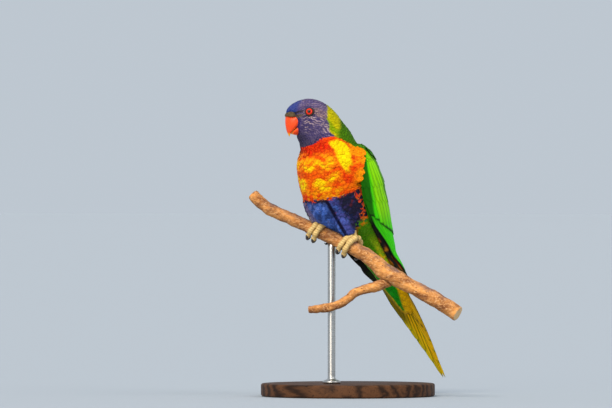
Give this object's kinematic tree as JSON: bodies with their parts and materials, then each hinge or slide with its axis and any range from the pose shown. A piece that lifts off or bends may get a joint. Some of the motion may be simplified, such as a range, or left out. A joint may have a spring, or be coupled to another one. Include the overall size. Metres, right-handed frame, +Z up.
{
  "type": "rainbow lorikeet model",
  "caption": "Life-size still model of a rainbow lorikeet gripping a short cut branch, head turned, held over a round base by a thin rod.",
  "frame": {"origin": "centre of the underside of the display stand's round base", "axes": "the bird faces -Y with its head turned to its right, its left side is +X, and +Z is up; the branch runs roughly along X"},
  "size_m": [0.1768, 0.1873, 0.2324],
  "materials": {
    "body_feathers": "matte",
    "neck_feathers": "matte",
    "head_feathers": "matte",
    "wing_feathers": "satin",
    "tail_feathers": "satin",
    "thigh_feathers": "matte",
    "eye": "gloss",
    "cere": "satin",
    "bill": "satin",
    "foot_skin": "matte",
    "bark": "matte",
    "dark_wood": "satin",
    "steel": "satin"
  },
  "bodies": {
    "root": {"torso": "body_feathers", "neck": "neck_feathers", "head": "head_feathers", "eye_left": "eye", "eye_right": "eye", "cere": "cere", "bill_upper": "bill", "bill_lower": "bill", "wing_left": "wing_feathers", "wing_right": "wing_feathers", "tail": "tail_feathers", "thigh_left": "thigh_feathers", "thigh_right": "thigh_feathers", "foot_left": "foot_skin", "foot_right": "foot_skin", "perch_branch": "bark", "perch_twig": "bark", "stand_base": "dark_wood", "stand_rod": "steel"}
  },
  "joints": []
}
